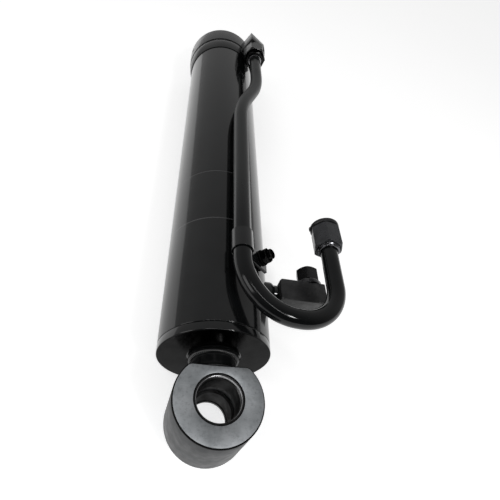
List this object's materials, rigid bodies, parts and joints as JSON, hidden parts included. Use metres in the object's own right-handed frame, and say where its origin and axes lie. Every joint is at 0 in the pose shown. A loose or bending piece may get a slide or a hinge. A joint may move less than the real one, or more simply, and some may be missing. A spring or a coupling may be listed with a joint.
{
  "type": "hydraulic cylinder",
  "caption": "Hydraulic cylinder with a pin eye at each end, a rigid transfer tube clamped along the barrel and capped ports at its base.",
  "frame": {"origin": "centre of the base eye's pin bore", "axes": "+Y along the barrel from the base eye to the rod eye, +Z along the base eye's pin, out of the face on the transfer tube's side"},
  "size_m": [0.1523, 0.6379, 0.1168],
  "materials": {
    "black_paint": "gloss",
    "cast_black": "satin, over a rough casting",
    "satin_steel": "satin grey",
    "black_zinc": "satin",
    "chrome": "polished",
    "bare_steel": "turned",
    "bush_steel": "turned",
    "rubber": "matte",
    "seal_polymer": "matte",
    "plastic": "matte"
  },
  "bodies": {
    "barrel": {"barrel_tube": "black_paint", "base_cap": "black_paint", "base_eye": "satin_steel", "base_bush_upper": "bush_steel", "base_bush_lower": "bush_steel", "base_seal_upper": "rubber", "base_seal_lower": "rubber", "base_port_stub": "black_paint", "base_port_block": "cast_black", "base_port_adapter": "black_zinc", "base_port_cap": "black_zinc", "head_sleeve": "black_paint", "gland_nut": "black_paint", "gland": "bare_steel", "rod_guide_ring": "seal_polymer", "rod_buffer_seal": "seal_polymer", "rod_seal": "seal_polymer", "rod_wiper": "rubber", "gland_o_ring": "rubber", "gland_backup_ring": "plastic", "head_port_block": "cast_black", "head_port_adapter": "cast_black", "head_tube_nut": "black_zinc", "head_tube_ferrule": "bare_steel", "transfer_tube": "black_paint", "line_end_sleeve": "bare_steel", "clamp_pad": "black_paint", "clamp_stud": "black_zinc", "clamp_washer": "black_zinc", "clamp_nut": "black_zinc", "clamp_strap": "black_paint"},
    "rod": {"rod": "chrome", "piston": "bare_steel", "piston_wear_ring_rear": "seal_polymer", "piston_wear_ring_front": "seal_polymer", "piston_seal": "seal_polymer", "piston_energiser": "rubber", "piston_bore_o_ring": "rubber", "piston_nut": "bare_steel", "rod_eye": "satin_steel", "rod_bush_upper": "bush_steel", "rod_bush_lower": "bush_steel", "rod_seal_upper": "rubber", "rod_seal_lower": "rubber"},
    "swivel": {"swivel_nut": "black_zinc", "line_plug": "plastic"}
  },
  "joints": [
    {"name": "rod_slide", "type": "slide", "parent": "barrel", "child": "rod", "axis": [0, 1, 0], "range_m": [0, 0.32]},
    {"name": "swivel_nut_spin", "type": "hinge", "parent": "barrel", "child": "swivel", "pos_m": [0.0902, 0.1385, 0.0502], "axis": [0, 1, 0], "continuous": true}
  ]
}
